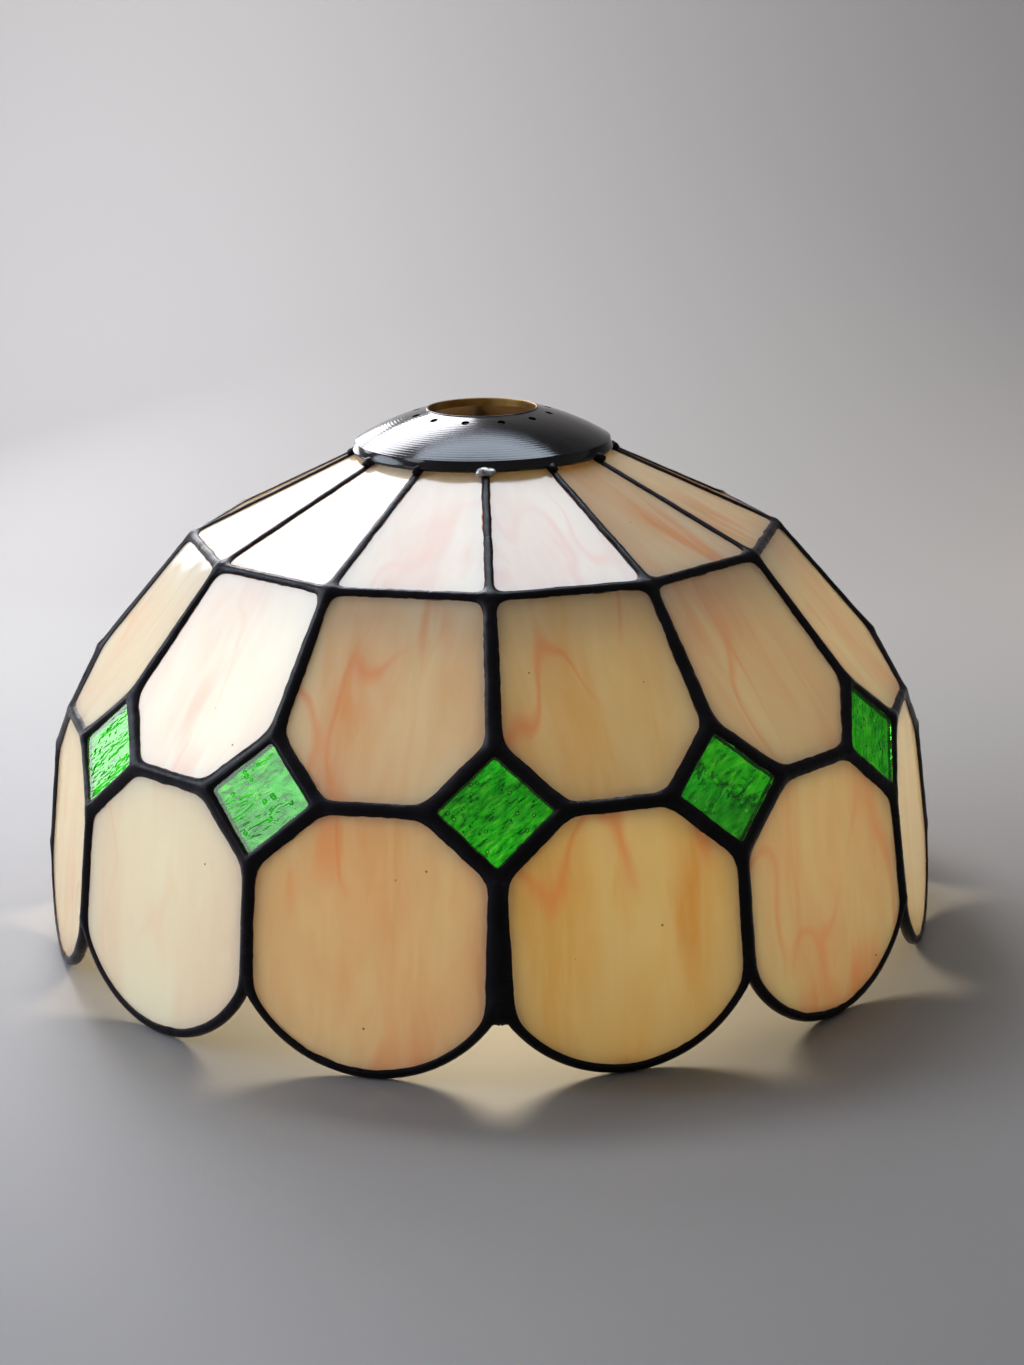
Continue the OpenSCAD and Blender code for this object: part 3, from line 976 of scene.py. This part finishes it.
CREAM = (0.78, 0.73, 0.60)
MILK = (0.83, 0.80, 0.70)
HONEY = (0.75, 0.64, 0.38)
BLUSH = (0.75, 0.58, 0.43)
PEACH = (0.78, 0.44, 0.27)
AMBER = (0.74, 0.54, 0.25)
SPECK = (0.10, 0.07, 0.05)
TRANSMITTED = (1.0, 0.93, 0.69)
# painted glare: the whiter light that panes below 0 pass
DAYLIGHT = (0.95, 1.0, 1.0)
OPAL_PASSES = 0.6  # share of the opal glass that passes light, scattered


def opal_glass():
    """Cream opalescent glass: streaks run up the pane, with wisps, loops and specks."""
    s = Shader("opal_glass")
    place = s.attribute("pane_place").outputs["Vector"]
    tone_and_glare = s.attribute("tone_and_glare").outputs["Fac"]
    drawn = s.scaled(place, (1, 0.2, 1))
    bent = s.warped(drawn, 45, (0.022, 0.006, 0))
    # broad cream and tan clouds, tinted by the pane's own warmth
    warm = s.mix(tone_and_glare, BLUSH, HONEY)
    clouds = s.ramp(s.noise(bent, 42, 3), (0.36, 0.0), (0.64, 1.0))
    body = s.mix(clouds, CREAM, warm)
    # fine milky streaks
    fine = s.ramp(s.noise(bent, 220, 3, 0.5), (0.4, 0.0), (0.75, 0.4))
    body = s.mix(fine, body, MILK)
    # wisps of peach and amber in patches
    patch = s.ramp(s.noise(place, 16, 1), (0.43, 0.0), (0.60, 1.0))
    wisp = s.ramp(s.noise(bent, 80, 3, 0.45), (0.54, 0.0), (0.70, 0.85))
    wisps = s.math("MULTIPLY", wisp, patch)
    body = s.mix(wisps, body, s.mix(tone_and_glare, PEACH, AMBER))
    # thin loops, where a swirling field crosses its middle value
    swirl = s.noise(s.warped(s.scaled(place, (1, 0.33, 1)), 30, (0.03, 0.02, 0)), 34, 1)
    loop = s.ramp(swirl, (0.475, 0.0), (0.497, 1.0), (0.503, 1.0), (0.53, 0.0))
    where = s.ramp(s.noise(place, 13, 1), (0.46, 0.0), (0.59, 0.7))
    body = s.mix(s.math("MULTIPLY", loop, where), body, PEACH)
    # painted glare: panes below 0 are whitened toward milk, standing for sunlight and glare
    painted_glare = s.math("MULTIPLY", tone_and_glare, -1.0, clamp=True)
    body = s.mix(s.math("MULTIPLY", painted_glare, 0.6), body, MILK)
    # a few dark specks
    cells = s.node("TexVoronoi")
    s.set(cells, Vector=place, Scale=95)
    speck = s.ramp(cells.outputs["Distance"], (0.035, 1.0), (0.05, 0.0))
    rare = s.ramp(s.noise(place, 60, 0), (0.6, 0.0), (0.62, 0.8))
    body = s.mix(s.math("MULTIPLY", speck, rare), body, SPECK)
    relief = s.noise(s.scaled(place, (1, 0.45, 1)), 150, 2)
    normal = s.bump(relief, 0.25, 0.0006)
    s.set(s.main, Base_Color=body, Roughness=0.2, IOR=1.5, Specular_IOR_Level=1.0,
          Coat_Weight=1.0, Coat_Roughness=0.05, Coat_IOR=1.7, Normal=normal)
    # painted glare also whitens the light that those panes pass
    passed = s.mix(1.0, body, s.mix(painted_glare, TRANSMITTED, DAYLIGHT), "MULTIPLY")
    through = s.node("BsdfTranslucent")
    s.set(through, Color=passed)
    blend = s.node("MixShader")
    blend.inputs[0].default_value = OPAL_PASSES
    s.link(s.main.outputs[0], blend.inputs[1])
    s.link(through.outputs[0], blend.inputs[2])
    s.link(blend.outputs[0], s.output.inputs["Surface"])
    return s.material


def green_glass():
    """Rippled green cathedral glass."""
    s = Shader("green_glass")
    place = s.attribute("pane_place").outputs["Vector"]
    turn = s.node("VectorRotate", rotation_type="Z_AXIS")
    s.set(turn, Vector=place, Angle=-RIDGE_TURN)
    drawn = s.scaled(turn.outputs[0], (0.26, 1, 1))
    flecks = s.noise(drawn, 760, 3, 0.6)
    tint = s.ramp(flecks, (0.35, (0.002, 0.20, 0.003)), (0.43, (0.010, 0.62, 0.007)),
                  (0.56, (0.03, 0.80, 0.018)), (0.70, (0.18, 0.97, 0.10)))
    # small round bubbles, dark at the rim, with a painted glint in the middle
    cells = s.node("TexVoronoi")
    s.set(cells, Vector=place, Scale=380)
    sizes = s.node("SeparateColor")
    s.link(cells.outputs["Color"], sizes.inputs[0])
    chosen = s.ramp(sizes.outputs[0], (0.62, 0.0), (0.64, 1.0))
    rim = s.ramp(cells.outputs["Distance"], (0.16, 0.0), (0.2, 0.9), (0.24, 0.9), (0.28, 0.0))
    painted_glint = s.ramp(cells.outputs["Distance"], (0.06, 0.8), (0.13, 0.0))
    tint = s.mix(s.math("MULTIPLY", rim, chosen), tint, (0.0, 0.10, 0.002))
    # painted glint: the middle of some bubbles is made bright green
    tint = s.mix(s.math("MULTIPLY", painted_glint, chosen), tint, (0.3, 0.98, 0.2))
    s.set(s.main, Base_Color=tint, Roughness=0.05, IOR=1.5, Transmission_Weight=0.9)
    return s.material


def solder():
    """Solder under a black patina, with a soft sheen that is rubbed in places."""
    s = Shader("black_patina_solder")
    place = s.object_place()
    blotch = s.noise(place, 90, 4, 0.6)
    tint = s.ramp(blotch, (0.3, (0.002, 0.0015, 0.0025)), (0.6, (0.005, 0.004, 0.006)),
                  (0.85, (0.020, 0.017, 0.020)))
    fine = s.noise(place, 900, 3, 0.6)
    rough = s.ramp(s.noise(place, 160, 3), (0.3, 0.24), (0.7, 0.46))
    height = s.math("ADD", s.math("MULTIPLY", fine, 0.3), s.noise(place, 320, 2))
    s.set(s.main, Base_Color=tint, Roughness=rough, Specular_IOR_Level=0.15,
          Normal=s.bump(height, 0.4, 0.0005))
    return s.material


def copper():
    """Tarnished copper foil."""
    s = Shader("tarnished_copper")
    place = s.object_place()
    tint = s.ramp(s.noise(place, 400, 4, 0.6), (0.3, (0.10, 0.045, 0.022)),
                  (0.5, (0.30, 0.13, 0.06)), (0.75, (0.48, 0.24, 0.12)))
    s.set(s.main, Base_Color=tint, Metallic=0.8,
          Roughness=s.ramp(s.noise(place, 700, 2), (0.3, 0.35), (0.7, 0.6)))
    return s.material


def bright_solder():
    """Light grey, metallic solder, used for the front tack."""
    s = Shader("bright_solder")
    place = s.object_place()
    tint = s.ramp(s.noise(place, 500, 4, 0.6), (0.3, (0.20, 0.19, 0.18)),
                  (0.6, (0.55, 0.54, 0.53)))
    s.set(s.main, Base_Color=tint, Metallic=0.9,
          Roughness=s.ramp(s.noise(place, 700, 2), (0.3, 0.22), (0.7, 0.42)),
          Normal=s.bump(s.noise(place, 600, 3), 0.5, 0.0006))
    return s.material


def cap_patina():
    """Black patina on spun brass, glossy, with faint rings from the spinning."""
    s = Shader("cap_patina")
    place = s.object_place()
    blotch = s.noise(place, 55, 4, 0.6)
    tint = s.ramp(blotch, (0.35, (0.005, 0.0045, 0.005)), (0.62, (0.010, 0.009, 0.010)),
                  (0.85, (0.040, 0.030, 0.026)))
    wave = s.node("TexWave", wave_type="RINGS", rings_direction="Z")
    s.set(wave, Vector=place, Scale=260, Distortion=0.4)
    height = s.math("ADD", s.math("MULTIPLY", wave.outputs["Fac"], 0.25),
                    s.noise(place, 120, 3))
    rough = s.ramp(s.noise(place, 80, 3), (0.3, 0.10), (0.7, 0.18))
    s.set(s.main, Base_Color=tint, Roughness=rough, Specular_IOR_Level=0.3,
          Coat_Weight=0.2, Coat_Roughness=0.1, Normal=s.bump(height, 0.12, 0.0008))
    return s.material


def cap_inside():
    """Bare brass, gone golden brown."""
    s = Shader("bare_brass")
    place = s.object_place()
    tint = s.ramp(s.noise(place, 70, 5, 0.6), (0.3, (0.13, 0.075, 0.025)),
                  (0.5, (0.32, 0.20, 0.07)), (0.75, (0.50, 0.34, 0.14)))
    s.set(s.main, Base_Color=tint, Metallic=0.9,
          Roughness=s.ramp(s.noise(place, 140, 3), (0.3, 0.28), (0.7, 0.5)))
    return s.material


def plain(name, tint, roughness):
    s = Shader(name)
    s.set(s.main, Base_Color=tint, Roughness=roughness)
    return s.material


# -------------------------------- the shade

opal, green, lead = opal_glass(), green_glass(), solder()
for pane in panes:
    if pane.row == "diamond":
        glass_pane(pane, green, "green_glass")
    else:
        glass_pane(pane, opal, "opal_glass")
tarnished = copper()
for row in ROWS:
    foil_channels(row, tarnished)
solder_lattice(lead)
spun_cap(cap_patina(), cap_inside())
tacks(bright_solder(), lead)

# -------------------------------- studio

FLOOR_HALF = 3.0
SWEEP_START = 0.55  # where the floor begins to curve up into the backdrop
SWEEP_R = 0.5
WALL_TOP = 2.6


def backdrop(material):
    """Floor and wall in one sweep."""
    profile = [(-FLOOR_HALF, 0.0)]
    for turn in np.linspace(0, pi / 2, 25):
        profile.append((SWEEP_START + SWEEP_R * sin(turn), SWEEP_R * (1 - cos(turn))))
    profile.append((SWEEP_START + SWEEP_R, WALL_TOP))
    places = [(x, y, z) for x in (-FLOOR_HALF, FLOOR_HALF) for y, z in profile]
    count = len(profile)
    faces = [(k, count + k, count + k + 1, k + 1) for k in range(count - 1)]
    floor = new_piece("floor", places, faces, material)


MIDDLE = (0, 0, 0.1)


def area_light(name, place, size, power, tint, target=MIDDLE, mirrored=True):
    """An elliptical light. One that isn't mirrored gives light but shows in no reflection."""
    light = bpy.data.lights.new(name, "AREA")
    light.shape, light.energy, light.color = "ELLIPSE", power, tint
    light.size, light.size_y = size
    lamp = add_object(name, light)
    lamp.location = place
    aim = Vector(target) - Vector(place)
    lamp.rotation_euler = aim.to_track_quat("-Z", "Y").to_euler()
    lamp.visible_camera = False
    lamp.visible_glossy = mirrored


def polar(azimuth, elevation, distance):
    """A place seen from the middle of the shade, with azimuth from +X towards +Y."""
    turn, lift = radians(azimuth), radians(elevation)
    level = distance * cos(lift)
    return level * cos(turn), level * sin(turn), distance * sin(lift) + MIDDLE[2]


def sky(tint, strength):
    world = bpy.data.worlds.new("studio")
    world.use_nodes = True
    background = world.node_tree.nodes["Background"]
    background.inputs["Color"].default_value = (*tint, 1)
    background.inputs["Strength"].default_value = strength
    bpy.context.scene.world = world


CAMERA_AT = Vector((0.0124, -0.9867, 0.3680))
CAMERA_PAN = -0.0037
CAMERA_PITCH = 0.2718  # looking down
CAMERA_ROLL = -0.0081
SHADE_YAW = 0.0276  # how far the shade is turned from the camera's own axes
SHADE_TILT = -0.0084  # and how far it leans
LENS = 69.03  # millimetres, as is the sensor
SENSOR = 36


def set_camera():
    """The photograph's view, in the shade's own frame."""
    pan, pitch, roll = CAMERA_PAN, CAMERA_PITCH, CAMERA_ROLL
    ahead = Vector((sin(pan) * cos(pitch), cos(pan) * cos(pitch), -sin(pitch)))
    right = Vector((cos(pan), -sin(pan), 0))
    above = right.cross(ahead)
    across = cos(roll) * right + sin(roll) * above
    upward = cos(roll) * above - sin(roll) * right
    facing = Matrix((across, upward, -ahead)).transposed().to_4x4()
    lens = bpy.data.cameras.new("camera")
    lens.lens, lens.sensor_width = LENS, SENSOR
    camera = add_object("camera", lens)
    to_shade = Matrix.Rotation(-SHADE_YAW, 4, "Z") @ Matrix.Rotation(-SHADE_TILT, 4, "Y")
    camera.matrix_world = to_shade @ Matrix.Translation(CAMERA_AT) @ facing
    bpy.context.scene.camera = camera


backdrop(plain("floor_paint", (0.175, 0.168, 0.165), 0.6))
# Each light: name, place, size, power and tint
area_light("soft_window", polar(156, 33, 1.4), (1.15, 1.15), 7.0, (0.97, 1.0, 1.03), mirrored=False)
area_light("upper_window", polar(109, 39, 1.1), (0.54, 0.54), 7.0, (0.98, 0.97, 1.05))
area_light("side_window", polar(167, 31, 1.2), (0.6, 0.6), 4.5, (0.9, 1.0, 1.15))
area_light("left_window", polar(182, 9, 1.4), (0.55, 0.55), 15, (0.85, 1.0, 1.3), mirrored=False)
area_light("far_window", polar(147, 6, 1.2), (0.36, 0.36), 1.3, (0.97, 1.0, 1.04))
area_light("low_window", polar(115, 14, 0.8), (0.36, 0.36), 1.1, (0.97, 1.0, 1.04))
area_light("front_window", polar(205, 23, 1.3), (0.4, 0.4), 1.6, (0.95, 1.0, 1.06))
area_light("right_window", polar(38, 14, 0.9), (0.3, 0.3), 3.2, (1.0, 0.9, 0.78),
           target=(0.25, 0, 0), mirrored=False)
area_light("overhead", (0.02, 0.15, 0.6), (0.46, 0.18), 1.15, (0.88, 1.0, 1.18))
area_light("wall_wash", (-0.3, 0.45, 1.0), (0.5, 0.5), 17, (1.0, 0.99, 0.95),
           target=(-0.05, 1.03, 0.25), mirrored=False)
area_light("inside_glow", (0, 0, 0.145), (0.12, 0.12), 0.95, (1.0, 0.85, 0.6), target=(0, 0, 0))
sky((1.0, 0.98, 0.96), 0.19)
set_camera()
bpy.context.scene.view_settings.view_transform = "Standard"
